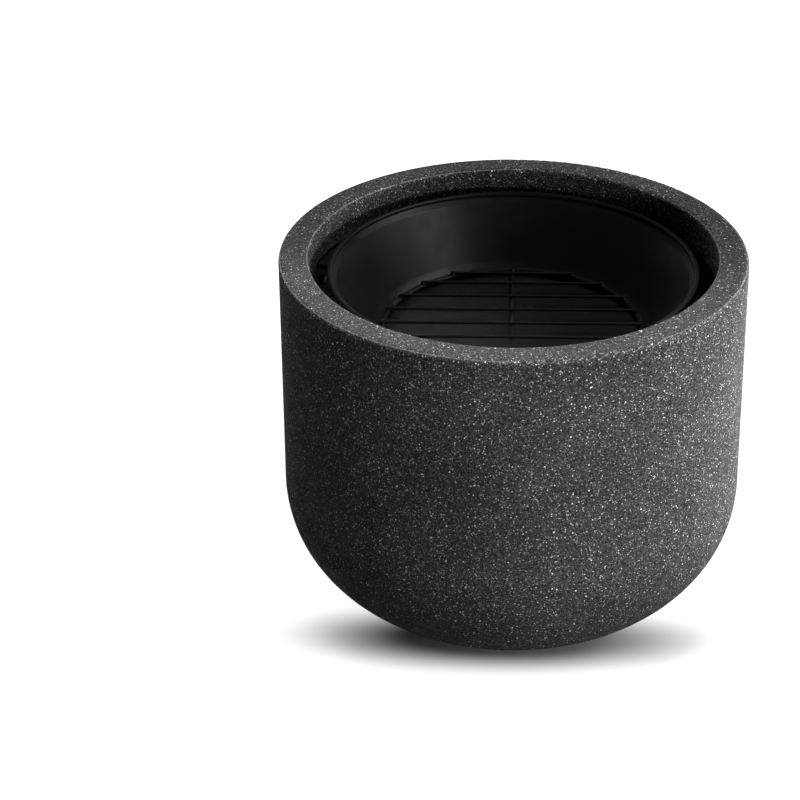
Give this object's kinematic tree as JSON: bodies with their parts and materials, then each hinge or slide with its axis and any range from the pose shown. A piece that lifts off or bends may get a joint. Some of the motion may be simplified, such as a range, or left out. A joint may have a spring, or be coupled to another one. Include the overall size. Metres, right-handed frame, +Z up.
{
  "type": "fire pit",
  "caption": "Round speckled cast-stone fire pit with a broad rim and rounded bottom, a lift-out black steel fire bowl, a wire grate in the bowl and an air slot in the back wall.",
  "frame": {"origin": "middle of the flat base, on the ground", "axes": "+Z up, along the axis of the round shell; -Y to the front, as pictured; the air slot faces +Y"},
  "size_m": [0.408, 0.408, 0.33],
  "materials": {
    "cast_stone": "matte",
    "bowl_paint": "satin",
    "bracket_paint": "satin",
    "screw_steel": "satin",
    "plug_plastic": "matte",
    "grate_wire": "satin"
  },
  "bodies": {
    "shell": {"shell": "cast_stone", "bowl_bracket_1": "bracket_paint", "bowl_bracket_2": "bracket_paint", "bowl_bracket_3": "bracket_paint", "bracket_screws": "screw_steel", "wall_plugs": "plug_plastic"},
    "bowl": {"fire_bowl": "bowl_paint"},
    "grate": {"grate_ring": "grate_wire", "grate_cross_rod": "grate_wire", "grate_bar_1": "grate_wire", "grate_bar_2": "grate_wire", "grate_bar_3": "grate_wire", "grate_bar_4": "grate_wire", "grate_bar_5": "grate_wire", "grate_bar_6": "grate_wire", "grate_bar_7": "grate_wire", "grate_bar_8": "grate_wire", "grate_bar_9": "grate_wire"}
  },
  "joints": [
    {"name": "bowl_lift", "type": "slide", "parent": "shell", "child": "bowl", "axis": [0, 0, 1], "range_m": [0, 0.12]},
    {"name": "grate_lift", "type": "slide", "parent": "bowl", "child": "grate", "axis": [0, 0, 1], "range_m": [0, 0.09]}
  ]
}
